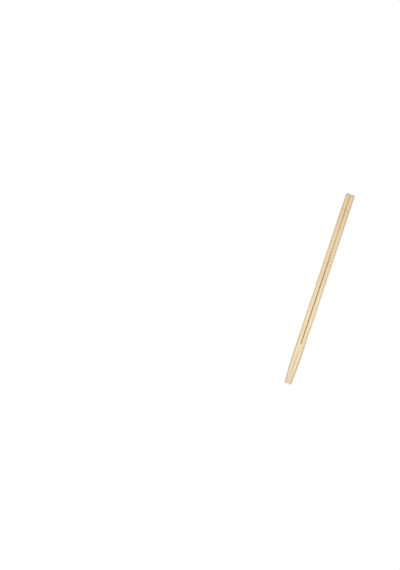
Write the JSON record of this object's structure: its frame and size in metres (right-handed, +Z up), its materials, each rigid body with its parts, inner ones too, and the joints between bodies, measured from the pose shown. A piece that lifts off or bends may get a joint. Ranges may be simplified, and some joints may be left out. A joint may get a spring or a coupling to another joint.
{
  "type": "bamboo chopsticks",
  "caption": "Joined disposable bamboo chopsticks: a flat strip, square-cut at the handle end and parted by a narrow saw slit up to its rounded tips, to be snapped apart and eaten with.",
  "frame": {"origin": "centre of the footprint, on the surface that the underside lies on", "axes": "+Y from the handle end to the tips, +X across the sticks, +Z up from the underside"},
  "size_m": [0.01, 0.23, 0.0048],
  "materials": {
    "bamboo": "planed and tumbled smooth, unvarnished"
  },
  "bodies": {
    "root": {"chopstick_pair": "bamboo"}
  },
  "joints": []
}
